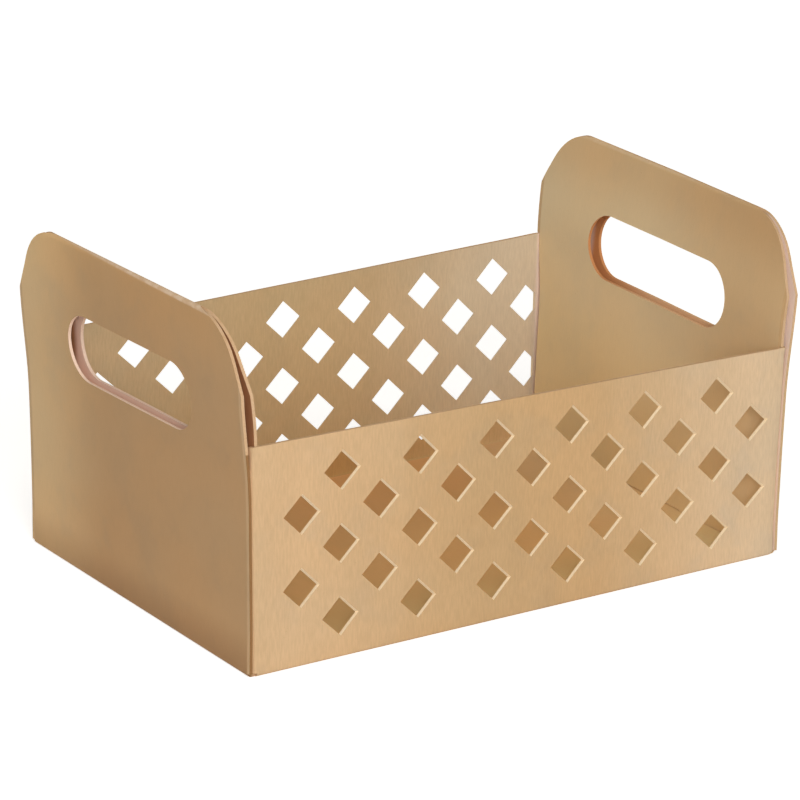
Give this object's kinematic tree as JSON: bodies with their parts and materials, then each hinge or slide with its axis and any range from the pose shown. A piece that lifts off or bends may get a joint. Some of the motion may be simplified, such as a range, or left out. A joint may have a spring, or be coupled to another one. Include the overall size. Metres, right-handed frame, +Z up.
{
  "type": "cardboard crate",
  "caption": "Open carrying crate folded from one sheet of brown card, with diamond lattice walls and raised double ends with hand slots.",
  "frame": {"origin": "middle of the base's underside, on the surface that the crate stands on", "axes": "+X along the crate towards one end, +Y across it towards one long wall, +Z up"},
  "size_m": [0.3146, 0.2, 0.168],
  "materials": {
    "card": "matt, finely ribbed brown card with pale cut edges"
  },
  "bodies": {
    "root": {"folded_crate": "card"}
  },
  "joints": []
}
